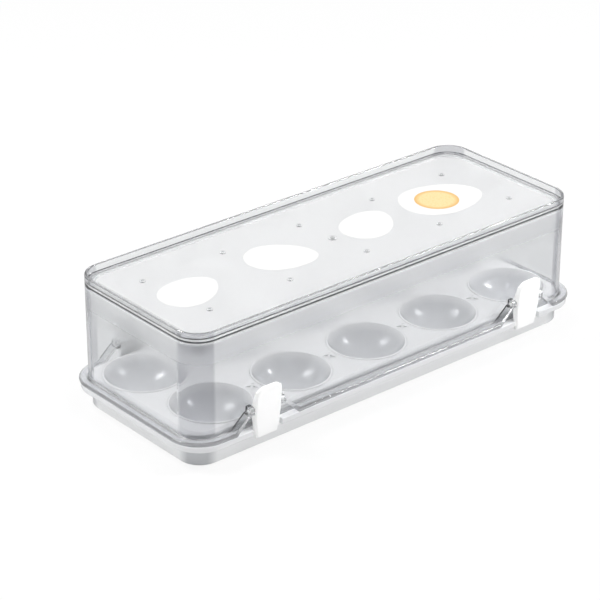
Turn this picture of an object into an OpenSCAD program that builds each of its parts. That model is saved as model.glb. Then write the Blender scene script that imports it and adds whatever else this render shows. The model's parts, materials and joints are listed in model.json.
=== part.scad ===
// Rectangular egg box: a shallow tray with a lift-out egg insert and a deep
// clear cover that four see-saw clips hold down. The top of the cover is
// recessed so that a second box stands in it.
// The origin is the middle of the foot, +X runs along the box, +Z is up.

/* [Egg cups] */
// Number of cups in each of the two rows
cup_cols = 5; // [3:1:8]
// Distance between neighbouring cups of a row
cup_pitch = 53; // [51:0.5:60]
// Distance between the two rows
row_gap = 47.6; // [47:0.2:56]
// Shift of the front row along +X and of the rear row along -X
row_shift = 3.2; // [0:0.2:4]
// Radius of the cup opening
cup_r = 20.6; // [18:0.1:21]
// Depth of the cup below the deck
cup_depth = 12.6; // [9:0.2:13.4]
// Width of the raised lip round a cup
lip_w = 1.5; // [1:0.1:1.8]
// Height of the raised lip above the deck
lip_h = 0.7; // [0.4:0.1:1.2]
// Thickness of the deck and of the cup walls
insert_t = 1.5; // [1.2:0.1:2]

/* [Cover] */
// Distance from the middle of an end cup to the outside of the end wall
end_margin = 28; // [28:0.5:36]
// Distance from the middle of a row to the outside of the long wall
side_margin = 26.2; // [26:0.2:34]
// Outer corner radius of the cover wall
corner_r = 14; // [12:0.5:18]
// Wall thickness of the cover
cover_t = 1.6; // [1.4:0.1:2]
// Height of the closed box
total_h = 76; // [70:1:96]
// Depth of the stacking recess
recess_h = 4.4; // [3:0.2:6]
// Thickness of the top panel
panel_t = 2; // [1.6:0.1:3]
// Width of the shallow border of the top panel
border_w = 5; // [3:0.5:8]
// Height of the middle of the top panel over its border
border_step = 0.4; // [0.2:0.1:0.8]

/* [Flange] */
// Height of the underside of the flange
flange_z = 14; // [13:0.5:18]
// Reach of the flange beyond the wall
flange_out = 5; // [4.6:0.1:7]
// Thickness of the flange
flange_t = 2.4; // [1.8:0.1:3]

/* [Marks on the top panel] */
// Outer radius of the small round marks
mark_r = 1.7; // [1.2:0.1:2.4]
// Radius of the pit in a small round mark
mark_pit_r = 0.9; // [0.6:0.1:1]
// Outer radius of the moulding mark in the middle
gate_r = 2.6; // [2:0.1:3.4]
// Depth of the pits
mark_d = 1.1; // [0.6:0.1:1.2]
// Height of the rings round the pits
mark_h = 0.35; // [0.2:0.05:0.5]

/* [Base] */
// Wall and floor thickness of the base tray
base_t = 1.8; // [1.4:0.1:2.4]
// Distance of the tray's own flange behind the edge of the cover's flange
rail_inset = 0.8; // [0.4:0.1:1.4]
// Thickness of the tray's flange
rail_t = 3.4; // [2.6:0.1:4]
// Reach beyond the cover wall of the ledge that a clip hooks under
ledge_out = 0.2; // [0.1:0.1:0.5]
// Gap between a clip and the ends of its notch in the tray's flange
notch_gap = 1; // [0.6:0.1:2]
// Rise of the tray's inner wall above the underside of the cover's flange
lip_rise = 3; // [1.6:0.2:5]
// Gap between the foot and the recess of a box below it
stack_gap = 0.2; // [0.2:0.1:0.8]
// Gap between the tray and the underside of the flange
seat_gap = 0.1; // [0.05:0.05:0.3]
// Gap between the insert and the cover wall
insert_gap = 0.5; // [0.4:0.1:1]
// Gap between the deck and the top of the inner wall
deck_gap = 0.1; // [0.05:0.05:0.3]
// Width of the sloping border of the deck
bevel_w = 2.4; // [1.6:0.2:3]
// Drop of the sloping border of the deck
bevel_h = 0.9; // [0.4:0.1:1]
// Height of the stiffening ribs on the floor
rib_h = 1.6; // [1:0.2:1.8]

/* [Clips] */
// Distance from the outside of the end wall to the middle of a clip
clip_inset = 40.85; // [40:0.5:60]
// Greatest width of a clip
clip_w = 17; // [14:0.5:19]
// Width of a clip at its lower end
clip_foot_w = 13.6; // [11:0.2:16]
// Thickness of a clip
clip_t = 1.8; // [1.4:0.1:2]
// Distance of the clip's front from the pivot
clip_front = 2.9; // [2.8:0.1:3.4]
// Lean of the clip away from the wall at its top
clip_lean = 5; // [0:0.5:6]
// Thickness of the cheeks at the sides of a clip
cheek_t = 1.6; // [1.2:0.1:2.4]
// Width of the bevel round the front of a clip
clip_bevel = 0.7; // [0.3:0.1:1]
// Height of the pivot above the foot
pivot_z = 24.5; // [23:0.5:28]
// Distance of the pivot from the outside of the wall
pivot_out = 2.1; // [2:0.1:2.6]
// Height of the clip above its pivot
tab_h = 13; // [10:0.1:13.4]
// Radius of the rounded corners of the tab
tab_r = 5; // [3:0.5:6]
// Radius of the pivot barrel
barrel_r = 1.7; // [1.5:0.1:1.8]
// Radius of the pivot pins
pin_r = 1.2; // [1:0.05:1.3]
// Gap between a pin and its bore
pin_gap = 0.1; // [0.05:0.05:0.2]
// Gap between the clip and the lugs beside it
side_gap = 0.4; // [0.3:0.1:0.6]
// Thickness of a lug
lug_t = 2.6; // [2:0.2:3.4]
// Height of the hook
hook_h = 2.4; // [2:0.1:2.8]
// Gap between the hook and the underside of the ledge
hook_gap = 0.3; // [0.2:0.05:0.4]
// Gap between the nose of the hook and the face of the ledge
nose_gap = 0.15; // [0.1:0.05:0.3]

/* [Arches] */
// Width of an arch at the flange
arch_w = 41; // [38:1:44]
// Width of the sloping leg of an arch
leg_w = 2.4; // [1.8:0.1:3]

/* [Hidden] */
$fn = 96;
cover_l = cup_pitch * (cup_cols - 1) + 2 * end_margin;
cover_w = row_gap + 2 * side_margin;
inner_r = corner_r - cover_t;
lip_z = flange_z + lip_rise;
panel_z = total_h - recess_h;
foot_l = cover_l - 2 * (cover_t + stack_gap);
foot_w = cover_w - 2 * (cover_t + stack_gap);
foot_r = corner_r - cover_t - stack_gap;
cavity_r = foot_r - base_t;
deck_l = cover_l - 2 * (cover_t + insert_gap);
deck_w = cover_w - 2 * (cover_t + insert_gap);
deck_r = corner_r - cover_t - insert_gap;
deck_z = lip_z + deck_gap;
deck_top = deck_z + insert_t;
bowl_r = (cup_r * cup_r + cup_depth * cup_depth) / (2 * cup_depth);
bowl_z = deck_top - cup_depth + bowl_r;
skirt_h = 3;
star = (cup_pitch / 2 - cup_r - lip_w) * 1.1;
clip_x = cover_l / 2 - clip_inset;
hook_in = pivot_out - ledge_out - nose_gap;
rail_z = flange_z - seat_gap - rail_t;
rail_r = corner_r + flange_out - rail_inset;
hook_top = rail_z - hook_gap - pivot_z;
hook_low = hook_top - hook_h;
lug_in = clip_w / 2 + side_gap;
lug_out = lug_in + lug_t;
lug_r = pin_r + pin_gap + 1.3;
pin_l = 2 * (lug_in + lug_t - 0.4);
arch_top = pivot_z - 0.5;

// Rectangle with round corners
module slab(l, w, r) {
    square([l - 2 * r, w], center = true);
    square([l, w - 2 * r], center = true);
    for (sx = [-1, 1], sy = [-1, 1])
        translate([sx * (l / 2 - r), sy * (w / 2 - r)])
            circle(r);
}

// Carries a profile round a rectangle with round corners. The profile's
// first axis is measured from the middle of the corner arcs.
module hoop(l, w, r) {
    lx = l / 2 - r;
    wy = w / 2 - r;
    for (c = [[lx, wy, 0], [-lx, wy, 90], [-lx, -wy, 180], [lx, -wy, 270]])
        translate([c[0], c[1], 0])
            rotate([0, 0, c[2]])
                rotate_extrude(angle = 90)
                    children();
    for (s = [[lx, 0, 0, 2 * wy], [0, wy, 90, 2 * lx], [-lx, 0, 180, 2 * wy], [0, -wy, 270, 2 * lx]])
        translate([s[0], s[1], 0])
            rotate([0, 0, s[2]])
                rotate([90, 0, 0])
                    linear_extrude(s[3], center = true)
                        children();
}

// Middles of the cups
module at_cups() {
    for (i = [0 : cup_cols - 1], s = [-1, 1])
        translate([(i - (cup_cols - 1) / 2) * cup_pitch - s * row_shift, s * row_gap / 2, 0])
            children();
}

// Middles of the cups as the marks on the panel repeat them
module at_marks() {
    at_cups()
        children();
}

// Section of the tray wall: foot, ledge and the lip inside the cover
module base_section() {
    translate([foot_r - base_t, 0.8])
        square([base_t, lip_z - 0.8 - base_t / 2]);
    translate([foot_r - base_t, 0])
        square([base_t - 0.8, 2]);
    translate([foot_r - 0.8, 0.8])
        circle(0.8);
    translate([foot_r - base_t / 2, lip_z - base_t / 2])
        circle(base_t / 2);
    translate([foot_r - 0.4, rail_z])
        square([rail_r - foot_r - 0.2, rail_t]);
    translate([foot_r - 0.4, rail_z + 0.6])
        square([rail_r - foot_r + 0.4, rail_t - 1.2]);
    for (z = [rail_z + 0.6, rail_z + rail_t - 0.6])
        translate([rail_r - 0.6, z])
            circle(0.6);
    polygon([
        [foot_r - 0.2, rail_z - 1.2], [foot_r, rail_z - 1.2], [foot_r + 0.35, rail_z - 0.35],
        [foot_r + 1.2, rail_z], [foot_r + 1.2, rail_z + 0.2], [foot_r - 0.2, rail_z + 0.2]
    ]);
    polygon([
        [cavity_r - 2, base_t - 0.2], [cavity_r + 0.2, base_t - 0.2],
        [cavity_r + 0.2, base_t + 2], [cavity_r, base_t + 2],
        [cavity_r - 0.6, base_t + 0.6], [cavity_r - 2, base_t]
    ]);
}

// Notch for a clip in the tray's flange, on the -Y side
module rail_notch() {
    half = clip_w / 2 + notch_gap;
    translate([-half, -cover_w / 2 - flange_out - 1, rail_z - 1])
        cube([2 * half, flange_out + 1 - ledge_out, rail_t + 2]);
}

module base_tray() {
    color("white") {
        linear_extrude(base_t)
            slab(foot_l - 1.6, foot_w - 1.6, foot_r - 0.8);
        difference() {
            hoop(foot_l, foot_w, foot_r)
                base_section();
            at_clips()
                rail_notch();
        }
        for (i = [0 : cup_cols - 2])
            translate([(i - (cup_cols - 2) / 2) * cup_pitch, 0, base_t - 0.1 + rib_h / 2])
                cube([1.4, foot_w - 2 * base_t - 3, rib_h + 0.1], center = true);
    }
}

// Half section of a cup, from its axis outwards
module cup_section() {
    difference() {
        union() {
            intersection() {
                translate([0, bowl_z])
                    circle(bowl_r + insert_t);
                translate([0, deck_top - cup_depth - insert_t - 1])
                    square([cup_r + insert_t, cup_depth + insert_t + 1]);
            }
            translate([cup_r - 0.6, deck_z])
                square([lip_w + 0.6, insert_t + lip_h - lip_w / 2]);
            translate([cup_r + lip_w / 2, deck_top + lip_h - lip_w / 2])
                circle(lip_w / 2);
        }
        translate([0, bowl_z])
            circle(bowl_r);
        translate([-1, deck_top - 0.5])
            square([cup_r + 0.4, lip_h + 2]);
    }
}

// Low star of two ridges on the deck between two cups of a row
module saddle() {
    for (a = [45, 135])
        rotate([0, 0, a])
            intersection() {
                rotate([90, 0, 0])
                    linear_extrude(1.2, center = true)
                        polygon([[-star, -0.3], [star, -0.3], [0, 1.3]]);
                cylinder(h = 6, r = star - 0.6, center = true);
            }
}

module egg_insert() {
    color("whitesmoke") {
        difference() {
            union() {
                translate([0, 0, deck_z])
                    linear_extrude(insert_t)
                        slab(deck_l - 2 * bevel_w, deck_w - 2 * bevel_w, deck_r - bevel_w);
                hoop(deck_l, deck_w, deck_r)
                    polygon([
                        [deck_r - bevel_w - 0.2, deck_z], [deck_r - 0.4, deck_z],
                        [deck_r, deck_z + 0.3], [deck_r, deck_top - bevel_h - 0.1],
                        [deck_r - 0.3, deck_top - bevel_h + 0.1], [deck_r - bevel_w, deck_top],
                        [deck_r - bevel_w - 0.2, deck_top]
                    ]);
                hoop(foot_l, foot_w, foot_r)
                    translate([cavity_r - 0.5 - insert_t, deck_z - skirt_h])
                        square([insert_t, skirt_h + 0.5]);
            }
            at_cups()
                translate([0, 0, deck_z - skirt_h - 1])
                    cylinder(h = skirt_h + insert_t + 4, r = cup_r + 0.3);
        }
        at_cups()
            rotate_extrude()
                intersection() {
                    cup_section();
                    square([cup_r + lip_w + 1, 100]);
                }
        for (i = [0 : cup_cols - 2], s = [-1, 1])
            translate([(i - (cup_cols - 2) / 2) * cup_pitch - s * row_shift, s * row_gap / 2, deck_top])
                saddle();
    }
}

// Section of the cover: wall, rounded top edge, flange and panel fillets
module cover_section() {
    translate([inner_r, flange_z])
        square([cover_t, panel_z + recess_h - flange_z - cover_t / 2]);
    translate([inner_r + cover_t / 2, total_h - cover_t / 2])
        circle(cover_t / 2);
    translate([corner_r - 0.5, flange_z])
        square([flange_out + 0.5 - flange_t / 2, flange_t]);
    translate([corner_r + flange_out - flange_t / 2, flange_z + flange_t / 2])
        circle(flange_t / 2);
    polygon([
        [corner_r - 0.2, flange_z + flange_t - 0.2], [corner_r + 1.4, flange_z + flange_t - 0.2],
        [corner_r + 1.4, flange_z + flange_t], [corner_r + 0.4, flange_z + flange_t + 0.4],
        [corner_r, flange_z + flange_t + 1.4], [corner_r - 0.2, flange_z + flange_t + 1.4]
    ]);
    polygon([
        [inner_r - 1.2, panel_z - panel_t + 0.2], [inner_r - 1.2, panel_z - panel_t],
        [inner_r - 0.4, panel_z - panel_t - 0.4], [inner_r, panel_z - panel_t - 1.2],
        [inner_r + 0.2, panel_z - panel_t - 1.2], [inner_r + 0.2, panel_z + 1.2],
        [inner_r, panel_z + 1.2], [inner_r - 0.4, panel_z + 0.4],
        [inner_r - 1.2, panel_z], [inner_r - 1.2, panel_z - 0.2]
    ]);
}

// Ring and pit of a mark, standing on z = 0
module mark_ring(r) {
    cylinder(h = mark_h, r = r);
}

module mark_pit(r) {
    translate([0, 0, -mark_d])
        cylinder(h = mark_d + mark_h + 1, r = r);
}

// Opening that an arch leaves in the flange, on the -Y side
module arch_gap() {
    half = arch_w / 2;
    translate([0, -cover_w / 2 - flange_out - 1, 0])
        rotate([-90, 0, 0])
            linear_extrude(flange_out + 1)
                polygon([
                    [-half, -flange_z + 1], [half, -flange_z + 1],
                    [half, -flange_z], [half - 2, -flange_z - flange_t - 3],
                    [-half + 2, -flange_z - flange_t - 3], [-half, -flange_z]
                ]);
}

// Leg of an arch and the lug at its top, for the +X side of a clip
module arch_leg() {
    half = arch_w / 2;
    slope = lug_in + 1.2;
    reach = flange_out - flange_t / 2 + 0.6;
    translate([0, -cover_w / 2 + 0.3, 0])
        rotate([90, 0, 0])
            linear_extrude(reach + 0.3)
                polygon([
                    [half, flange_z], [half + leg_w + 1, flange_z],
                    [half + leg_w + 1, flange_z + 0.6], [slope + leg_w, arch_top], [slope, arch_top]
                ]);
    translate([(lug_in + lug_out) / 2, -cover_w / 2, pivot_z])
        rotate([90, 0, 90])
            linear_extrude(lug_t, center = true) {
                translate([-pivot_out, 0])
                    circle(lug_r);
                translate([-pivot_out, -lug_r])
                    square([pivot_out + 0.3, 2 * lug_r]);
            }
}

// Bore of both lugs of a clip
module pivot_bore() {
    translate([0, -cover_w / 2 - pivot_out, pivot_z])
        rotate([0, 90, 0])
            cylinder(h = 2 * lug_out + 2, r = pin_r + pin_gap, center = true);
}

// Places of the clips: each side is the other turned half a turn
module at_clips() {
    for (a = [0, 180])
        rotate([0, 0, a])
            for (s = [-1, 1])
                translate([s * clip_x + row_shift, 0, 0])
                    children();
}

module cover() {
    color("gainsboro", 0.35)
        difference() {
            union() {
                difference() {
                    hoop(cover_l, cover_w, corner_r)
                        cover_section();
                    at_clips()
                        arch_gap();
                }
                translate([0, 0, panel_z - panel_t])
                    linear_extrude(panel_t)
                        slab(cover_l - 2 * cover_t + 0.4, cover_w - 2 * cover_t + 0.4, inner_r + 0.2);
                translate([0, 0, panel_z - 0.2])
                    linear_extrude(border_step + 0.2)
                        slab(
                            cover_l - 2 * (cover_t + border_w), cover_w - 2 * (cover_t + border_w),
                            inner_r - border_w
                        );
                translate([0, 0, panel_z + border_step]) {
                    at_marks()
                        mark_ring(mark_r);
                    mark_ring(gate_r);
                }
                at_clips() {
                    arch_leg();
                    mirror([1, 0, 0])
                        arch_leg();
                }
            }
            translate([0, 0, panel_z + border_step]) {
                at_marks()
                    mark_pit(mark_pit_r);
                mark_pit(mark_pit_r + 0.5);
            }
            at_clips()
                pivot_bore();
        }
}

// Outline of a clip from the front, drawn in by an inset
module clip_outline(inset) {
    half = clip_w / 2 - inset;
    foot = clip_foot_w / 2 - inset;
    high = tab_h - inset;
    polygon([
        [-foot, hook_low + inset], [foot, hook_low + inset],
        [half, -4], [half, high - tab_r], [-half, high - tab_r], [-half, -4]
    ]);
    for (s = [-1, 1])
        translate([s * (half - tab_r), high - tab_r])
            circle(tab_r);
}

// Front plate of a clip with its bevel
module clip_plate() {
    rotate([clip_lean, 0, 0])
        translate([0, -clip_front, 0])
            rotate([90, 0, 0])
                hull() {
                    translate([0, 0, -clip_t])
                        linear_extrude(clip_t - clip_bevel)
                            clip_outline(0, $fn = 32);
                    translate([0, 0, -0.01])
                        linear_extrude(0.01)
                            clip_outline(clip_bevel, $fn = 32);
                }
}

// Side section of a cheek, the pivot at its origin and -X inwards
module cheek_section() {
    circle(barrel_r);
    rotate(-clip_lean)
        polygon([
            [-barrel_r * 0.8, -barrel_r * 0.6], [-barrel_r * 0.8, barrel_r * 0.6],
            [clip_front - clip_t, tab_h - 2], [clip_front - 0.8, tab_h - 2.4],
            [clip_front - 0.8, hook_low + hook_h + 0.4], [clip_front - clip_t, hook_low + hook_h + 0.4]
        ]);
}

// Side section of the hook
module hook_section() {
    polygon([
        [-hook_in, hook_low + 0.8], [-hook_in + 0.7, hook_low], [clip_front - 2.6, hook_low],
        [clip_front - 2.6, hook_low + hook_h + 1.2], [clip_front - 3.5, hook_low + hook_h],
        [-hook_in + 0.5, hook_low + hook_h], [-hook_in, hook_low + hook_h - 0.4]
    ]);
}

// Clip for the -Y side, its pivot at the origin
module clip() {
    color("white") {
        clip_plate();
        for (s = [-1, 1])
            translate([s * (clip_w - cheek_t - 0.6) / 2, 0, 0])
                rotate([90, 0, -90])
                    linear_extrude(cheek_t, center = true)
                        cheek_section();
        rotate([90, 0, -90])
            linear_extrude(clip_foot_w - 0.8, center = true)
                hook_section();
        rotate([0, 90, 0])
            cylinder(h = pin_l, r = pin_r, center = true);
    }
}

// Clip s = -1 or 1 of the side that is turned by a
module placed_clip(s, a) {
    rotate([0, 0, a])
        translate([s * clip_x + row_shift, -cover_w / 2 - pivot_out, pivot_z])
            clip();
}

module clip_front_left() {
    placed_clip(-1, 0);
}

module clip_front_right() {
    placed_clip(1, 0);
}

module clip_rear_left() {
    placed_clip(1, 180);
}

module clip_rear_right() {
    placed_clip(-1, 180);
}

base_tray();
egg_insert();
cover();
clip_front_left();
clip_front_right();
clip_rear_left();
clip_rear_right();
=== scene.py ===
"""Looks of a rectangular egg box: clear cover, milky tray and insert, white clips, printed top.

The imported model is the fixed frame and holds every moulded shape. This script gives each of its
nodes a procedural material, prints plain eggs on the top panel as thin films of ink, and sets up
the studio and the camera. Lengths are in metres, so a size in millimetres is written times MM.
"""

import json
import logging
import math
from collections.abc import Sequence
from dataclasses import dataclass
from enum import Enum

import bmesh
import bpy
from mathutils import Matrix, Vector

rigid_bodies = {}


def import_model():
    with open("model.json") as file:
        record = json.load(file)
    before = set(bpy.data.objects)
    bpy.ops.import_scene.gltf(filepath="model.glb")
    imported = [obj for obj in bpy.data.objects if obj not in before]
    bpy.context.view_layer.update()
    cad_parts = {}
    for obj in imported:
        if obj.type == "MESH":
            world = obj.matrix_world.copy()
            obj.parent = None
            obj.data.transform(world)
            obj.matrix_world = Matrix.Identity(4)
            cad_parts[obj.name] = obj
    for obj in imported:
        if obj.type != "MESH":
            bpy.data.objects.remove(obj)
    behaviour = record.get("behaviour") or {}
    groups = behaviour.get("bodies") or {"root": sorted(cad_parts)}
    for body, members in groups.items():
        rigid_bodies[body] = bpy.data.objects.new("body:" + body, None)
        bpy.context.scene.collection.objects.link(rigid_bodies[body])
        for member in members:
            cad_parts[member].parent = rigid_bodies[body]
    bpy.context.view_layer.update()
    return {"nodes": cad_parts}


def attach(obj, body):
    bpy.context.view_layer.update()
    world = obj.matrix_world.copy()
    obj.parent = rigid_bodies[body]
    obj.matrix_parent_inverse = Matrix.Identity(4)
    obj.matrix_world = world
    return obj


logging.basicConfig(level=logging.INFO, format="%(message)s")
log = logging.getLogger("scene")

Rgba = tuple[float, float, float, float]
Place = tuple[float, float, float]
Pair = tuple[float, float]
Source = bpy.types.Node | bpy.types.NodeSocket | float

MM = 0.001
WHITE: Rgba = (1.0, 1.0, 1.0, 1.0)


def srgb(hex_code: str) -> Rgba:
    """Turn an sRGB hex colour into the linear one that shaders take.

    Args:
        hex_code: Six hex digits after a hash sign.

    Returns:
        Linear red, green and blue, fully opaque.
    """
    code = hex_code.lstrip("#")
    out = []
    for i in (0, 2, 4):
        c = int(code[i:i + 2], 16) / 255
        # the curve of the sRGB standard
        out.append(c / 12.92 if c <= 0.04045 else ((c + 0.055) / 1.055) ** 2.4)
    return (out[0], out[1], out[2], 1.0)


class Body(Enum):
    """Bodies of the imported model, where CLIP is the part that the clips' four names share.

    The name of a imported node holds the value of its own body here, and of no other.
    """

    BASE = "base"
    INSERT = "insert"
    COVER = "cover"
    CLIP = "clip"


class Graph:
    """Small helper that builds one node tree."""

    def __init__(self, tree: bpy.types.NodeTree) -> None:
        """Empty a tree and keep it.

        Args:
            tree: Node tree of a material, of the world or of a Geometry Nodes modifier.
        """
        self.tree = tree
        tree.nodes.clear()

    def node(self, kind: str, *first: object, inputs: dict[str | int, object] | None = None,
             **settings: object) -> bpy.types.Node:
        """Add a node with its settings and links.

        Args:
            kind: Node type, which for a shader node goes without its prefix.
            *first: Values or sources of the first inputs, in order. Of a node, its first output.
            inputs: Values or sources of other inputs, by name or number.
            **settings: Properties set on the node.

        Returns:
            The new node.
        """
        node = self.tree.nodes.new(kind if "Node" in kind else "ShaderNode" + kind)
        for key, value in settings.items():
            setattr(node, key, value)
        for key, value in [*enumerate(first), *(inputs or {}).items()]:
            if isinstance(value, bpy.types.Node):
                value = value.outputs[0]
            if isinstance(value, bpy.types.NodeSocket):
                self.tree.links.new(value, node.inputs[key])
            else:
                node.inputs[key].default_value = value
        return node


def new_material(name: str) -> tuple[bpy.types.Material, Graph]:
    """Start a material.

    Args:
        name: Its name, after the real material.

    Returns:
        The material and the graph of its empty tree.
    """
    material = bpy.data.materials.new(name)
    material.use_nodes = True
    return material, Graph(material.node_tree)


@dataclass(frozen=True)
class Outline:
    """Rounded rectangle of a moulding, seen from above and centred on the origin.

    Attributes:
        half_length: Half its length.
        half_width: Half its width.
        corner: Its corner radius.
        bend_start: Distance past the straight sides where a corner begins to count as one.
    """

    half_length: float
    half_width: float
    corner: float
    bend_start: float = 0.1 * MM

    def past(self, g: Graph, place: bpy.types.Node) -> list[bpy.types.Node]:
        """How far a point lies past the centre of the nearest corner's arc, along each axis.

        Args:
            g: Graph that gets the nodes.
            place: Node with the point's coordinates.

        Returns:
            Two nodes, of which one gives 0 beside a straight side.
        """
        out = []
        for axis, half in zip("XY", (self.half_length, self.half_width)):
            away = g.node("Math", place.outputs[axis], operation="ABSOLUTE")
            past = g.node("Math", away, half - self.corner, operation="SUBTRACT")
            out.append(g.node("Math", past, 0.0, operation="MAXIMUM"))
        return out

    def bend(self, g: Graph, past: Sequence[bpy.types.Node], blend: float) -> bpy.types.Node:
        """Zone of the upright corners.

        Args:
            g: Graph that gets the nodes.
            past: Result of the method past.
            blend: Distance past the straight sides where the zone is full.

        Returns:
            Node that gives 1 on the corners and 0 along the sides.
        """
        nearest = g.node("Math", *past, operation="MINIMUM")
        return g.node("MapRange", nearest, self.bend_start, blend)


@dataclass(frozen=True)
class Plastic:
    """What the finishes of all the moulded plastics share.

    Attributes:
        name: Material name, after the real material.
        color: sRGB hex of the plastic.
        roughness: Mean roughness.
        ior: Index of refraction.
        wave: Height of the surface's slow waves.
        wave_size: Width of one wave.
        wave_detail: Number of finer steps in the waves.
        wave_falloff: Share of its height that each finer step keeps.
    """

    name: str
    color: str
    roughness: float
    ior: float
    wave: float
    wave_size: float
    wave_detail: float = 2.0
    wave_falloff: float = 0.4

    def normal(self, g: Graph) -> bpy.types.Node:
        """Slow waviness of a moulded surface.

        Args:
            g: Graph that gets the nodes.

        Returns:
            Node that gives the normal.
        """
        waves = g.node("TexNoise", inputs={
            "Vector": g.node("TexCoord").outputs["Object"], "Scale": 1 / self.wave_size,
            "Detail": self.wave_detail, "Roughness": self.wave_falloff,
        })
        return g.node("Bump", inputs={"Strength": 1.0, "Distance": self.wave, "Height": waves})


@dataclass(frozen=True)
class Zones:
    """Nodes that give a share from 0 to 1 for each zone of the cover that looks unlike the rest.

    Attributes:
        wall: Etched inner face of the walls near the top.
        eave: Deeper etched band of the walls, just under the panel.
        panel: Etched middle of the panel.
        corner: Upright corners, which get painted shade.
        step: Upright face round the sunk panel.
        foot: Flange and foot of the walls, which get painted shade.
        ring: Sides of the rings of the moulding marks, which get painted shade.
        pit: Pits of the moulding marks, which get painted shade.
    """

    wall: bpy.types.Node
    eave: bpy.types.Node
    panel: bpy.types.Node
    corner: bpy.types.Node
    step: bpy.types.Node
    foot: bpy.types.Node
    ring: bpy.types.Node
    pit: bpy.types.Node


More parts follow.
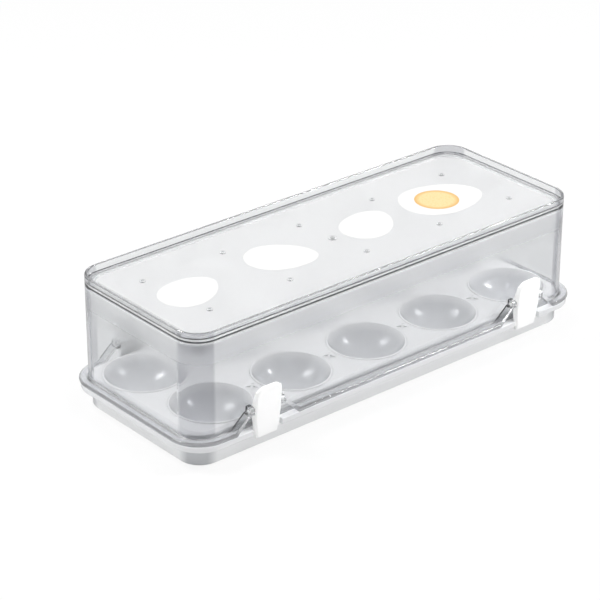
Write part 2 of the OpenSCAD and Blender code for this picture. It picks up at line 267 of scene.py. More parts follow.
@dataclass(frozen=True)
class Satin:
    """Places and looks of the cover's zones that aren't plain clear plastic.

    Heights are above the table, and depths are taken inwards from the cover's outer face.

    Attributes:
        wall_in: Depth past which a point is on the wall's inner face.
        wall_low: Height where the wall's etching starts to fade in.
        wall_high: Height where it is full.
        wall_roughness: Roughness that it adds.
        wall_milk: Share of light that it scatters.
        eaves: Height where the etched walls end and the panel begins.
        eave_low: Height where the wall's deeper etching starts to fade in.
        eave_high: Height where it is full.
        eave_milk: Share of light that it scatters besides.
        panel_in: Depth where the panel's etching starts.
        panel_fade: Distance over which it fades in.
        panel_roughness: Roughness that it adds.
        panel_milk: Share of light that it scatters.
        panel_color: sRGB hex of it.
        panel_shade: sRGB hex of what it lets through from a lamp.
        patches: Number of uneven patches of the panel's etching in a metre.
        patch_detail: Number of finer steps in them.
        patch_span: Part of the pattern's range that is used.
        patch_share: Least and greatest share of the etching.
        step_in: Depth of the upright face round the sunk panel.
        step_reach: Distance on either side of it that still counts as this face.
        step_milk: Share of light that it scatters.
        corner_in: Depth down to which a corner gets painted shade.
        corner_blend: Distance past the straight sides where that painted shade is full.
        painted_corner_shade: sRGB hex of the painted shade that greys the upright corners.
        foot: Height below which the flange and the wall's foot are matt.
        foot_milk: Share of light that they scatter.
        painted_foot_shade: sRGB hex of the painted shade that greys them.
        pit_low: Height between the panel's underside and the floors of the marks' pits.
        pit_high: Height between these floors and the groove round the panel.
        painted_pit_shade: sRGB hex of the painted shade that darkens the pits.
        ring_low: Height where the sides of the marks' rings begin.
        ring_high: Height where they end.
        painted_ring_shade: sRGB hex of the painted shade on these sides, which are seen edge on.
    """

    wall_in: float = 0.8 * MM
    wall_low: float = 44.0 * MM
    wall_high: float = 60.0 * MM
    wall_roughness: float = 0.30
    wall_milk: float = 0.12
    eaves: float = 69.0 * MM
    eave_low: float = 62.5 * MM
    eave_high: float = 67.0 * MM
    eave_milk: float = 0.60
    panel_in: float = 5.4 * MM
    panel_fade: float = 0.4 * MM
    panel_roughness: float = 0.40
    panel_milk: float = 0.58
    panel_color: str = "#E6E6E6"
    panel_shade: str = "#DCDCDC"
    patches: float = 65.0
    patch_detail: float = 2.0
    patch_span: Pair = (0.3, 0.7)
    patch_share: Pair = (0.85, 1.12)
    step_in: float = 5.0 * MM
    step_reach: float = 0.5 * MM
    step_milk: float = 0.50
    corner_in: float = 2.5 * MM
    corner_blend: float = 1.2 * MM
    painted_corner_shade: str = "#D1D2D5"
    foot: float = 16.6 * MM
    foot_milk: float = 0.18
    painted_foot_shade: str = "#D2D3D5"
    pit_low: float = 70.5 * MM
    pit_high: float = 71.5 * MM
    painted_pit_shade: str = "#1C1E20"
    ring_low: float = 72.05 * MM
    ring_high: float = 72.3 * MM
    painted_ring_shade: str = "#505356"

    def zones(self, g: Graph, outline: Outline) -> Zones:
        """Find the zones from the place of a point in the model.

        Args:
            g: Graph that gets the nodes.
            outline: The cover's outer face.

        Returns:
            The zones.
        """
        place = g.node("SeparateXYZ", g.node("TexCoord").outputs["Object"])
        height = place.outputs["Z"]
        past = outline.past(g, place)
        squares = [g.node("Math", p, p, operation="MULTIPLY") for p in past]
        reach = g.node("Math", g.node("Math", *squares, operation="ADD"), operation="SQRT")

        inner = g.node("Math", reach, outline.corner - self.wall_in, operation="LESS_THAN")
        under = g.node("Math", height, self.eaves, operation="LESS_THAN")
        etched = g.node("Math", inner, under, operation="MULTIPLY")
        upper = g.node("MapRange", height, self.wall_low, self.wall_high)
        deep = g.node("MapRange", height, self.eave_low, self.eave_high)

        rim = outline.corner - self.panel_in
        middle = g.node("MapRange", reach, rim, rim - self.panel_fade)
        lid = g.node("Math", 1.0, under, operation="SUBTRACT")
        below_pits = g.node("Math", height, self.pit_low, operation="LESS_THAN")
        sheet = g.node("Math", below_pits, lid, operation="MULTIPLY")

        bend = outline.bend(g, past, self.corner_blend)
        side = g.node("Math", reach, outline.corner - self.corner_in, operation="GREATER_THAN")
        face = g.node("Math", reach, outline.corner - self.step_in, self.step_reach,
                      operation="COMPARE")
        over_pits = g.node("Math", height, self.pit_high, operation="GREATER_THAN")

        from_ring = g.node("Math", height, self.ring_low, operation="GREATER_THAN")
        to_ring = g.node("Math", height, self.ring_high, operation="LESS_THAN")
        rings = g.node("Math", from_ring, to_ring, operation="MULTIPLY")
        from_pit = g.node("Math", height, self.pit_low, operation="GREATER_THAN")
        to_pit = g.node("Math", height, self.pit_high, operation="LESS_THAN")
        return Zones(
            wall=g.node("Math", etched, upper, operation="MULTIPLY"),
            eave=g.node("Math", etched, deep, operation="MULTIPLY"),
            panel=g.node("Math", sheet, middle, operation="MULTIPLY"),
            corner=g.node("Math", bend, side, operation="MULTIPLY"),
            step=g.node("Math", face, over_pits, operation="MULTIPLY"),
            foot=g.node("Math", height, self.foot, operation="LESS_THAN"),
            ring=g.node("Math", middle, rings, operation="MULTIPLY"),
            pit=g.node("Math", from_pit, to_pit, operation="MULTIPLY"),
        )


@dataclass(frozen=True)
class ClearPlastic(Plastic):
    """Clear moulded plastic, polished outside and etched inside near the top.

    Attributes:
        lamp_tint: sRGB hex of what the polished plastic lets through from a lamp.
        depth_tint: sRGB hex that light takes on in the plastic.
        depth: How fast it takes that on.
    """

    lamp_tint: str = "#FBFBFB"
    depth_tint: str = "#BEBFC1"
    depth: float = 25.0

    def build(self, satin: Satin, outline: Outline) -> bpy.types.Material:
        """Make the material.

        Args:
            satin: Places and looks of the zones that aren't plain clear plastic.
            outline: Outer face of the moulding.

        Returns:
            The material.
        """
        material, g = new_material(self.name)
        zones = satin.zones(g, outline)
        # the etching is a little uneven, in patches of about 15 mm
        patch = g.node("TexNoise", inputs={
            "Vector": g.node("TexCoord").outputs["Object"], "Scale": satin.patches,
            "Detail": satin.patch_detail,
        })
        even = g.node("MapRange", patch, *satin.patch_span, *satin.patch_share)
        panel = g.node("Math", zones.panel, even, operation="MULTIPLY")
        rough: Source = self.roughness
        for zone, share in ((zones.wall, satin.wall_roughness), (panel, satin.panel_roughness)):
            rough = g.node("Math", zone, share, rough, operation="MULTIPLY_ADD")
        milk: Source = 0.0
        for zone, share in (
            (zones.wall, satin.wall_milk), (panel, satin.panel_milk),
            (zones.eave, satin.eave_milk), (zones.step, satin.step_milk),
            (zones.foot, satin.foot_milk),
        ):
            milk = g.node("Math", zone, share, milk, operation="MULTIPLY_ADD")
        # painted shade greys the upright corners, the flange and foot, and the marks' ring sides
        # and pits
        tone: Source | Rgba = srgb(self.color)
        for zone, color in (
            (zones.panel, satin.panel_color), (zones.corner, satin.painted_corner_shade),
            (zones.foot, satin.painted_foot_shade), (zones.ring, satin.painted_ring_shade),
            (zones.pit, satin.painted_pit_shade),
        ):
            tone = g.node("MixRGB", zone, tone, srgb(color))
        shell = g.node("BsdfPrincipled", inputs={
            "Base Color": tone, "Roughness": rough, "IOR": self.ior, "Normal": self.normal(g),
            "Transmission Weight": g.node("Math", 1.0, milk, operation="SUBTRACT"),
        })
        # lamps shine through, less so through the etched panel
        past = g.node("MixRGB", zones.panel, srgb(self.lamp_tint), srgb(satin.panel_shade))
        lamp = g.node("LightPath").outputs["Is Shadow Ray"]
        mix = g.node("MixShader", lamp, shell, g.node("BsdfTransparent", past))
        g.node("OutputMaterial", mix, g.node("VolumeAbsorption", srgb(self.depth_tint), self.depth))
        return material


@dataclass(frozen=True)
class MilkyPlastic(Plastic):
    """Translucent plastic that scatters light and lets some of it through.

    Its lower part, its upper part and its corners may each have a tone; the darker ones are painted
    shade.

    Attributes:
        glow: Share of light that spreads inside and leaves on the far side.
        lower: sRGB hex of the lower part, painted shade where it is the darker one.
        upper: sRGB hex of the upper part, painted shade where it is the darker one.
        low: Height where the lower part ends.
        high: Height where the upper part begins.
        corner: sRGB hex of painted shade on the lower part's upright corners, where they differ.
        corner_blend: Distance past the straight sides where that tone is full.
        clear: Share of light that passes straight through.
        clouds: Number of duller and glossier clouds in a metre.
        cloud_detail: Number of finer steps in them.
        cloud_span: Part of the pattern's range that is used.
        cloud_share: Least and greatest share of the roughness.
        gloss: Weight of the glossy skin.
        gloss_roughness: Roughness of that skin.
    """

    glow: float = 0.0
    lower: str = "#FFFFFF"
    upper: str = "#FFFFFF"
    low: float = 0.0
    high: float = 0.0
    corner: str | None = None
    corner_blend: float = 6.0 * MM
    clear: float = 0.0
    clouds: float = 45.0
    cloud_detail: float = 3.0
    cloud_span: Pair = (0.3, 0.7)
    cloud_share: Pair = (0.85, 1.15)
    gloss: float = 0.8
    gloss_roughness: float = 0.02

    def build(self, outline: Outline) -> bpy.types.Material:
        """Make the material.

        Args:
            outline: Outer face of the moulding.

        Returns:
            The material.
        """
        material, g = new_material(self.name)
        coords = g.node("TexCoord").outputs["Object"]
        # the gloss of a moulding changes slowly, in clouds of about 22 mm
        cloud = g.node("TexNoise", inputs={
            "Vector": coords, "Scale": self.clouds, "Detail": self.cloud_detail,
        })
        rough = g.node("MapRange", cloud, *self.cloud_span,
                       *(self.roughness * share for share in self.cloud_share))
        place = g.node("SeparateXYZ", coords)
        # painted shade: the darker of the lower and upper tones and the corners' tone stand in for
        # less light
        upper = g.node("MapRange", place.outputs["Z"], self.low, self.high)
        tone = g.node("MixRGB", upper, srgb(self.lower), srgb(self.upper))
        if self.corner:
            bend = outline.bend(g, outline.past(g, place), self.corner_blend)
            lower = g.node("Math", 1.0, upper, operation="SUBTRACT")
            zone = g.node("Math", bend, lower, operation="MULTIPLY")
            tone = g.node("MixRGB", zone, tone, srgb(self.corner))
        skin = g.node("BsdfPrincipled", inputs={
            "Base Color": tone, "Roughness": rough, "IOR": self.ior, "Normal": self.normal(g),
            "Transmission Weight": self.clear,
            "Coat Weight": self.gloss, "Coat Roughness": self.gloss_roughness,
        })
        inside = g.node("BsdfTranslucent", srgb(self.color))
        g.node("OutputMaterial", g.node("MixShader", self.glow, skin, inside))
        return material


@dataclass(frozen=True)
class WhitePlastic(Plastic):
    """Opaque white gloss plastic with a fine texture and a slight inner glow.

    Attributes:
        glow: Share of light that spreads inside.
        spread: How far it spreads.
        gloss: Weight of the glossy skin.
        gloss_roughness: Roughness of that skin.
    """

    glow: float = 0.25
    spread: float = 2.0 * MM
    gloss: float = 0.3
    gloss_roughness: float = 0.1

    def build(self) -> bpy.types.Material:
        """Make the material.

        Returns:
            The material.
        """
        material, g = new_material(self.name)
        body = g.node("BsdfPrincipled", inputs={
            "Base Color": srgb(self.color), "Roughness": self.roughness, "IOR": self.ior,
            "Normal": self.normal(g), "Subsurface Weight": self.glow,
            "Subsurface Radius": (self.spread,) * 3, "Subsurface Scale": 1.0,
            "Coat Weight": self.gloss, "Coat Roughness": self.gloss_roughness,
        })
        g.node("OutputMaterial", body)
        return material


@dataclass(frozen=True)
class Ink:
    """Matt screen printing ink with the screen's flecks.

    Attributes:
        name: Material name, after the real material.
        color: sRGB hex of the ink.
        fleck: sRGB hex of the flecks.
        edge: sRGB hex at the edge of a motif that is shaded outwards.
        edge_start: Share of the motif's radius where that shade begins.
        flecks: Number of flecks in a metre.
        fleck_detail: Number of finer steps in them.
        fleck_span: Part of the pattern's range over which a fleck fades in.
        fleck_share: Greatest share of the fleck's colour.
        relief: Height of the flecks.
        relief_share: Strength of this relief.
        roughness: Roughness of the film.
        ior: Index of refraction.
    """

    name: str
    color: str
    fleck: str
    edge: str | None = None
    edge_start: float = 0.75
    flecks: float = 1000.0
    fleck_detail: float = 3.0
    fleck_span: Pair = (0.5, 0.7)
    fleck_share: float = 0.7
    relief: float = 0.02 * MM
    relief_share: float = 0.5
    roughness: float = 0.38
    ior: float = 1.5

    def build(self, at: Place, radius: float) -> bpy.types.Material:
        """Make the material.

        Args:
            at: Middle of the motif, from which its shade goes outwards.
            radius: Radius of the motif.

        Returns:
            The material.
        """
        material, g = new_material(self.name)
        coords = g.node("TexCoord").outputs["Object"]
        tone: Source | Rgba = srgb(self.color)
        if self.edge:
            away = g.node("VectorMath", coords, at, operation="DISTANCE").outputs["Value"]
            share = g.node("MapRange", away, self.edge_start * radius, radius)
            tone = g.node("MixRGB", share, tone, srgb(self.edge))
        # flecks of about 1 mm, coarser than a real printing screen so that they show
        flecks = g.node("TexNoise", inputs={
            "Vector": coords, "Scale": self.flecks, "Detail": self.fleck_detail,
        })
        some = g.node("MapRange", flecks, *self.fleck_span, 0.0, self.fleck_share)
        body = g.node("BsdfPrincipled", inputs={
            "Base Color": g.node("MixRGB", some, tone, srgb(self.fleck)),
            "Roughness": self.roughness, "IOR": self.ior,
            "Normal": g.node("Bump", inputs={
                "Strength": self.relief_share, "Distance": self.relief, "Height": flecks,
            }),
        })
        # so thin a film casts no shadow into the panel
        lamp = g.node("LightPath").outputs["Is Shadow Ray"]
        g.node("OutputMaterial", g.node("MixShader", lamp, body, g.node("BsdfTransparent")))
        return material


# polystyrene from a polished mould: clear as glass, with sharp highlights that waver slowly, and
# grey where the wall is seen edge on; painted shade greys the corners, flange, foot and marks too
CLEAR_STYRENE = ClearPlastic(
    "clear_styrene", "#ECEDEE", roughness=0.015, ior=1.55, wave=0.02 * MM, wave_size=35.0 * MM,
)
# moulded polypropylene: milky under a thin gloss, and light from behind bleeds through it; the
# rail on top is greyed a touch with painted shade, and the corners are greyed more with painted
# shade
TRAY_POLYPROPYLENE = MilkyPlastic(
    "milky_polypropylene_tray", "#F1F2F3", roughness=0.22, ior=1.49,
    wave=0.02 * MM, wave_size=12.0 * MM, glow=0.06,
    lower="#F4F5F6", upper="#DEDFE1", low=9.8 * MM, high=10.5 * MM, corner="#BFC1C4",
)
# the same plastic in a thinner moulding, so it glows more; painted shade greys the bowls below the
# deck
INSERT_POLYPROPYLENE = MilkyPlastic(
    "milky_polypropylene_insert", "#EFEFF0", roughness=0.22, ior=1.49,
    wave=0.005 * MM, wave_size=12.0 * MM, glow=0.25,
    lower="#D9DADD", upper="#F3F3F4", low=15.0 * MM, high=18.5 * MM, clear=0.05,
)
# moulded plastic filled with white pigment: opaque, with a soft gloss and faintly glowing edges
WHITE_CLIP_PLASTIC = WhitePlastic(
    "white_clip_plastic", "#FAFAFA", roughness=0.28, ior=1.49, wave=0.02 * MM, wave_size=4.0 * MM,
)
# ink pressed through a screen: a matt layer that hides the satin panel under it
WHITE_INK = Ink("white_screen_printing_ink", "#E6E6E5", fleck="#DFDFDE")
# the same kind of ink in yellow, which darkens towards the yolk's edge so that it looks round
YOLK_INK = Ink("yolk_yellow_screen_printing_ink", "#EBD097", fleck="#E0BB72", edge="#D9A552")


@dataclass(frozen=True)
class Moulding:
    """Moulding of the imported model, whose shape is there and whose finish is given here.

    Attributes:
        body: Body of the nodes that it is made of.
    """

    body: Body

    def material(self) -> bpy.types.Material:
        """Make the moulding's material."""
        raise NotImplementedError

    def dress(self, nodes: dict[str, bpy.types.Object]) -> None:
        """Give the moulding's nodes their material.

        Args:
            nodes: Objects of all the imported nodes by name.
        """
        material = self.material()
        for name, obj in nodes.items():
            if self.body.value in name:
                for slot in obj.material_slots:
                    slot.material = material
                log.info("%s: %s", name, material.name)


@dataclass(frozen=True)
class Cover(Moulding):
    """Clear cover with its sunk top panel.

    Attributes:
        outline: Outer face of its walls.
        finish: Its plastic.
        satin: Its zones that aren't plain clear plastic.
    """

    body: Body = Body.COVER
    outline: Outline = Outline(half_length=134.0 * MM, half_width=50.0 * MM, corner=14.0 * MM)
    finish: ClearPlastic = CLEAR_STYRENE
    satin: Satin = Satin()

    def material(self) -> bpy.types.Material:
        """Make the cover's material."""
        return self.finish.build(self.satin, self.outline)


@dataclass(frozen=True)
class MilkyMoulding(Moulding):
    """What the tray and the insert share.

    Attributes:
        finish: Its plastic.
        outline: Rounded rectangle from which its corners are found.
    """

    finish: MilkyPlastic
    outline: Outline = Outline(half_length=132.2 * MM, half_width=48.2 * MM, corner=14.0 * MM)

    def material(self) -> bpy.types.Material:
        """Make the moulding's material."""
        return self.finish.build(self.outline)


@dataclass(frozen=True)
class Tray(MilkyMoulding):
    """Shallow tray that the box stands on."""

    body: Body = Body.BASE
    finish: MilkyPlastic = TRAY_POLYPROPYLENE


@dataclass(frozen=True)
class Insert(MilkyMoulding):
    """Insert with the egg bowls."""

    body: Body = Body.INSERT
    finish: MilkyPlastic = INSERT_POLYPROPYLENE


@dataclass(frozen=True)
class Clips(Moulding):
    """The four see-saw clips, which are alike.

    Attributes:
        finish: Their plastic.
    """

    body: Body = Body.CLIP
    finish: WhitePlastic = WHITE_CLIP_PLASTIC

    def material(self) -> bpy.types.Material:
        """Make the clips' material."""
        return self.finish.build()


def new_object(name: str, mesh: bpy.types.Mesh, material: bpy.types.Material) -> bpy.types.Object:
    """Link a mesh into the scene as an object at the origin.

    Args:
        name: Object name.
        mesh: Its mesh, in the model's frame.
        material: Its only material.

    Returns:
        The new object.
    """
    mesh.materials.clear()
    mesh.materials.append(material)
    obj = bpy.data.objects.new(name, mesh)
    bpy.context.scene.collection.objects.link(obj)
    return obj


def film(name: str, outline: Sequence[Pair], z: float, thick: float,
         material: bpy.types.Material) -> bpy.types.Object:
    """Thin closed slab with the given outline, for a layer of ink.

    Args:
        name: Object name.
        outline: Points of the outline, counter-clockwise.
        z: Height of its underside.
        thick: Thickness.
        material: Its ink.

    Returns:
        The slab.
    """
    bm = bmesh.new()
    low = [bm.verts.new((x, y, z)) for x, y in outline]
    high = [bm.verts.new((x, y, z + thick)) for x, y in outline]
    bm.faces.new(list(reversed(low)))
    bm.faces.new(high)
    n = len(outline)
    for i in range(n):
        j = (i + 1) % n
        bm.faces.new((low[i], low[j], high[j], high[i]))
    mesh = bpy.data.meshes.new(name)
    bm.to_mesh(mesh)
    bm.free()
    return new_object(name, mesh, material)


@dataclass(frozen=True)
class EggShape:
    """Outline of a plain egg, blunt end at -x, centred on its box.

    Attributes:
        length: Length of the egg.
        width_share: Its width as a share of its length.
        taper: How much its width grows towards the blunt end.
        points: Number of points on the outline.
    """

    length: float
    width_share: float = 0.76
    taper: float = 0.16
    points: int = 72

    def outline(self) -> list[Pair]:
        """Work out the outline.

        Returns:
            Its points in order.
        """
        half = self.length / 2
        out = []
        for i in range(self.points):
            a = 2 * math.pi * i / self.points
            y = half * self.width_share * math.sin(a) * (1 - self.taper * math.cos(a))
            out.append((half * math.cos(a), y))
        return out


class EggRow:
    """Geometry Nodes tree that repeats one printed egg along a line, each turned and sized."""

    def __init__(self) -> None:
        """Build the tree with its named inputs."""
        self.tree = bpy.data.node_groups.new("egg_row", "GeometryNodeTree")
        self.ids: dict[str, str] = {}
        g = Graph(self.tree)
        sockets = self.tree.interface
        for name, kind in (
            ("Count", "Int"), ("Start", "Vector"), ("Step", "Vector"), ("Turn", "Float"),
            ("Shrink", "Float"), ("Seed", "Int"), ("Egg", "Object"), ("Ink", "Material"),
        ):
            new = sockets.new_socket(name, in_out="INPUT", socket_type="NodeSocket" + kind)
            self.ids[name] = new.identifier
        sockets.new_socket("Geometry", in_out="OUTPUT", socket_type="NodeSocketGeometry")
        given = g.node("NodeGroupInput").outputs
        line = g.node("GeometryNodeMeshLine", inputs={
            "Count": given["Count"], "Start Location": given["Start"], "Offset": given["Step"],
        })
        shape = g.node("GeometryNodeObjectInfo", inputs={"Object": given["Egg"]})
        # inputs 2 and 3 of a random number are its least and greatest value, output 1 is the draw
        turn = g.node("FunctionNodeRandomValue", inputs={
            2: g.node("Math", given["Turn"], -1.0, operation="MULTIPLY"), 3: given["Turn"],
            "Seed": given["Seed"],
        }, data_type="FLOAT").outputs[1]
        size = g.node("FunctionNodeRandomValue", inputs={
            2: g.node("Math", 1.0, given["Shrink"], operation="SUBTRACT"), 3: 1.0,
            "Seed": g.node("Math", given["Seed"], 1.0, operation="ADD"),
        }, data_type="FLOAT").outputs[1]
        row = g.node("GeometryNodeInstanceOnPoints", inputs={
            "Points": line, "Instance": shape.outputs["Geometry"],
            "Rotation": g.node("CombineXYZ", inputs={"Z": turn}),
            "Scale": g.node("CombineXYZ", size, size, 1.0),
        })
        solid = g.node("GeometryNodeRealizeInstances", row)
        inked = g.node("GeometryNodeSetMaterial", inputs={
            "Geometry": solid, "Material": given["Ink"],
        })
        g.node("NodeGroupOutput", inked)

    def build(self, name: str, **values: object) -> bpy.types.Object:
        """Run the tree once and keep its result as a plain mesh.

        Args:
            name: Name of the new object.
            **values: Value of each named input.

        Returns:
            The new object, without a modifier.
        """
        host = bpy.data.objects.new("host", bpy.data.meshes.new("host"))
        bpy.context.scene.collection.objects.link(host)
        modifier = host.modifiers.new("row", "NODES")
        modifier.node_group = self.tree
        for key, value in values.items():
            modifier[self.ids[key]] = value
        graph = bpy.context.evaluated_depsgraph_get()
        mesh = bpy.data.meshes.new_from_object(host.evaluated_get(graph))
        bpy.data.objects.remove(host)
        return new_object(name, mesh, values["Ink"])


@dataclass(frozen=True)
class TopPrint:
    """Plain eggs printed along the middle of the panel: a row of whole ones and a boiled half.

    Attributes:
        panel_z: Height of the panel's middle.
        lift: Gap under a layer of ink.
        thick: Thickness of a layer.
        whole: Shape of a whole egg.
        whole_count: Number of whole eggs.
        whole_start: Middle of the first whole egg.
        whole_step: Way from one whole egg to the next.
        whole_turn: Greatest turn of a whole egg to either side, in radians.
        whole_shrink: Greatest share by which a whole egg is smaller.
        seed: Seed of the whole eggs' turns and sizes.
        half: Shape of the halved egg.
        half_at: Middle of the halved egg.
        half_turn: Turn of the halved egg in degrees.
        yolk_shift: Way from there to the middle of the yolk.
        yolk_radius: Radius of the yolk.
        yolk_points: Number of points on its outline.
    """

    panel_z: float = 72.0 * MM
    lift: float = 0.02 * MM
    thick: float = 0.03 * MM
    whole: EggShape = EggShape(length=40.0 * MM)
    whole_count: int = 3
    whole_start: Pair = (-98.0 * MM, -1.0 * MM)
    whole_step: Pair = (62.0 * MM, 1.0 * MM)
    whole_turn: float = 0.7
    whole_shrink: float = 0.15
    seed: int = 4
    half: EggShape = EggShape(length=50.0 * MM)
    half_at: Pair = (80.0 * MM, 0.0)
    half_turn: float = -10.0
    yolk_shift: Pair = (-3.0 * MM, 0.5 * MM)
    yolk_radius: float = 12.5 * MM
    yolk_points: int = 64

    def whole_eggs(self, z: float, ink: bpy.types.Material) -> bpy.types.Object:
        """Print the row of whole eggs.

        Args:
            z: Height of the underside of the ink.
            ink: Their ink.

        Returns:
            The layer of ink.
        """
        egg = film("one_egg", self.whole.outline(), 0.0, self.thick, ink)
        row = EggRow().build(
            "print_whole_eggs", Count=self.whole_count, Start=(*self.whole_start, z),
            Step=(*self.whole_step, 0.0), Turn=self.whole_turn, Shrink=self.whole_shrink,
            Seed=self.seed, Egg=egg, Ink=ink,
        )
        bpy.data.objects.remove(egg)
        return row

    def half_egg(self, z: float, ink: bpy.types.Material) -> bpy.types.Object:
        """Print the white of the halved egg.

        Args:
            z: Height of the underside of the ink.
            ink: Its ink.

        Returns:
            The layer of ink.
        """
        turn = Matrix.Rotation(math.radians(self.half_turn), 2)
        outline = [tuple(turn @ Vector(p) + Vector(self.half_at)) for p in self.half.outline()]
        return film("print_half_egg", outline, z, self.thick, ink)

    def yolk(self, at: Place, ink: bpy.types.Material) -> bpy.types.Object:
        """Print the yolk.

        Args:
            at: Middle of the underside of the ink.
            ink: Its ink.

        Returns:
            The layer of ink.
        """
        x, y, z = at
        steps = [2 * math.pi * i / self.yolk_points for i in range(self.yolk_points)]
        disc = [(x + self.yolk_radius * math.cos(t), y + self.yolk_radius * math.sin(t))
                for t in steps]
        return film("print_yolk", disc, z, self.thick, ink)

    def build(self) -> list[bpy.types.Object]:
        """Print the eggs.

        Returns:
            The ink pieces.
        """
        z = self.panel_z + self.lift
        at = tuple(middle + shift for middle, shift in zip(self.half_at, self.yolk_shift))
        white = WHITE_INK.build((*at, z), self.yolk_radius)
        yellow = YOLK_INK.build((*at, z), self.yolk_radius)
        out = [
            self.whole_eggs(z, white),
            self.half_egg(z, white),
            self.yolk((*at, z + self.lift + self.thick), yellow),
        ]
        for piece in out:
            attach(piece, Body.COVER.value)
        return out


@dataclass(frozen=True)
class Camera:
    """Camera that stands where the photograph was taken from.

    Attributes:
        at: Its place.
        azimuth: Direction of the view in degrees, 0 along +Y.
        elevation: Height of the view in degrees.
        roll: Roll of the view in degrees.
        focal_px: Focal length in pixels of the square frame.
        frame_px: Width of the frame in pixels.
        sensor: Width of the sensor in millimetres.
        nearest: Least distance that it sees.
    """

    at: Place = (-0.76366, -0.86840, 0.61566)
    azimuth: float = -40.47
    elevation: float = 26.67
    roll: float = 0.15
    focal_px: float = 2386.1
    frame_px: float = 600.0
    sensor: float = 36.0
    nearest: float = 10.0 * MM

    def build(self) -> None:
        """Place the camera."""
        az, el = math.radians(self.azimuth), math.radians(self.elevation)
        back = Vector((math.sin(az) * math.cos(el), -math.cos(az) * math.cos(el), math.sin(el)))
        right = Vector((math.cos(az), math.sin(az), 0.0))
        roll = Matrix.Rotation(math.radians(self.roll), 3, "Z")
        turn = Matrix((right, back.cross(right), back)).transposed() @ roll
        data = bpy.data.cameras.new("camera")
        data.sensor_fit = "HORIZONTAL"
        data.sensor_width = self.sensor
        data.lens = self.focal_px / self.frame_px * self.sensor
        data.clip_start = self.nearest
        cam = bpy.data.objects.new("camera", data)
        cam.matrix_world = Matrix.Translation(self.at) @ turn.to_4x4()
        bpy.context.scene.collection.objects.link(cam)
        bpy.context.scene.camera = cam


@dataclass(frozen=True)
class Floor:
    """Sheet of white paper under the object, which is white to the camera and takes shadows.

    Attributes:
        color: sRGB hex of the paper.
        half: Half the length of its sides.
        drop: How far it lies below the object's feet.
        white_share: Share of plain white in what the camera sees of it, directly or in gloss.
        mirrored: Strength of that white in a mirroring surface.
    """

    color: str = "#F2F2F2"
    half: float = 4.0
    drop: float = 0.2 * MM
    white_share: float = 0.85
    mirrored: float = 0.5

    def material(self) -> bpy.types.Material:
        """Make the paper's material.

        Returns:
            The material.
        """
        # sweep paper: matt and evenly white, with a soft grey shadow under the object
        material, g = new_material("white_sweep_paper")
        path = g.node("LightPath").outputs
        seen = g.node("Math", path["Is Camera Ray"], path["Is Glossy Ray"], operation="MAXIMUM")
        share = g.node("Math", seen, self.white_share, operation="MULTIPLY")
        paper = g.node("BsdfDiffuse", srgb(self.color))
        level = g.node("MapRange", path["Is Reflection Ray"], 0.0, 1.0, 1.0, self.mirrored)
        white = g.node("Emission", WHITE, level)
        g.node("OutputMaterial", g.node("MixShader", share, paper, white))
        return material

    def build(self) -> None:
        """Lay the floor."""
        bm = bmesh.new()
        bmesh.ops.create_grid(bm, x_segments=1, y_segments=1, size=self.half)
        mesh = bpy.data.meshes.new("floor")
        bm.to_mesh(mesh)
        bm.free()
        obj = new_object("floor", mesh, self.material())
        obj.location.z = -self.drop


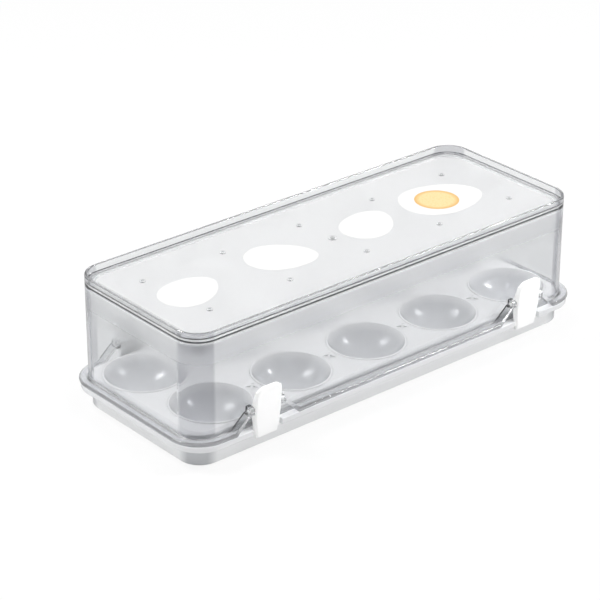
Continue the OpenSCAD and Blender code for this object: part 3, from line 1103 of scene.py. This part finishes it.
@dataclass(frozen=True)
class Tent:
    """Light tent: white to the camera, greyer in gloss, and even where light has been spread.

    Attributes:
        away: X and Y parts of the direction that leads away from the camera.
        shine_span: Stretch of that direction over which the light in gloss grows.
        shine: Strength of that light at either end.
        sky: Strength of the light on matt surfaces, from the side and from straight above.
        near_span: Stretch of that direction over which that light falls off near the camera.
        near: Share of it that is left there.
        spread: Limit between no matt bounce yet and one or more, past which the sky is used.
    """

    away: Pair = (0.65, 0.76)
    shine_span: Pair = (-0.3, 0.6)
    shine: Pair = (0.55, 0.95)
    sky: Pair = (1.50, 0.25)
    near_span: Pair = (-0.7, -1.0)
    near: float = 0.3
    spread: float = 0.5

    def build(self) -> None:
        """Put up the tent."""
        world = bpy.data.worlds.new("light_tent")
        world.use_nodes = True
        bpy.context.scene.world = world
        g = Graph(world.node_tree)
        path = g.node("LightPath").outputs
        axis = g.node("SeparateXYZ", g.node("TexCoord").outputs["Generated"]).outputs
        parts = [g.node("Math", axis[name], share, operation="MULTIPLY")
                 for name, share in zip("XY", self.away)]
        away = g.node("Math", *parts, operation="ADD")
        shine = g.node("MapRange", away, *self.shine_span, *self.shine)
        height = g.node("Math", axis["Z"], operation="ABSOLUTE")
        sky = g.node("MapRange", height, 0.0, 1.0, *self.sky)
        near = g.node("MapRange", away, *self.near_span, 1.0, self.near)
        even = g.node("Math", sky, near, operation="MULTIPLY")
        spread = g.node("Math", path["Diffuse Depth"], self.spread, operation="GREATER_THAN")
        light = g.node("MixShader", spread, g.node("Background", WHITE, shine),
                       g.node("Background", WHITE, even))
        plain = g.node("Background", WHITE, 1.0)
        g.node("OutputWorld", g.node("MixShader", path["Is Camera Ray"], light, plain))


@dataclass(frozen=True)
class Lamp:
    """Soft box that faces the object.

    Attributes:
        name: Light name.
        at: Its place.
        size: Its width and height.
        power: Its power in watts.
        aim: Point that it faces.
    """

    name: str
    at: Place
    size: Pair
    power: float
    aim: Place = (0.0, 0.0, 30.0 * MM)

    def build(self) -> None:
        """Hang the lamp."""
        data = bpy.data.lights.new(self.name, "AREA")
        data.shape = "RECTANGLE"
        data.size, data.size_y = self.size
        data.energy = self.power
        obj = bpy.data.objects.new(self.name, data)
        way = (Vector(self.aim) - Vector(self.at)).normalized()
        turn = way.to_track_quat("-Z", "Y").to_matrix().to_4x4()
        obj.matrix_world = Matrix.Translation(self.at) @ turn
        bpy.context.scene.collection.objects.link(obj)


@dataclass(frozen=True)
class Studio:
    """White studio with the camera, the floor, the light tent and two soft boxes.

    Attributes:
        camera: The camera.
        floor: The floor.
        tent: The light tent.
        lamps: The soft boxes.
    """

    camera: Camera = Camera()
    floor: Floor = Floor()
    tent: Tent = Tent()
    lamps: tuple[Lamp, ...] = (
        Lamp("front_right_box", at=(0.68, -0.44, 0.75), size=(0.16, 0.26), power=5.6),
        Lamp("rear_left_box", at=(-0.50, 0.48, 0.85), size=(0.26, 0.34), power=5.6),
    )

    def build(self) -> None:
        """Set up the whole studio."""
        for item in (self.camera, self.floor, self.tent, *self.lamps):
            item.build()
        bpy.context.scene.view_settings.view_transform = "Standard"


def main() -> None:
    """Build the scene in order."""
    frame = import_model()
    for moulding in (Cover(), Tray(), Insert(), Clips()):
        moulding.dress(frame["nodes"])
    for piece in TopPrint().build():
        log.info("%s: %s", piece.name, piece.active_material.name)
    Studio().build()


if __name__ == "__main__":
    main()
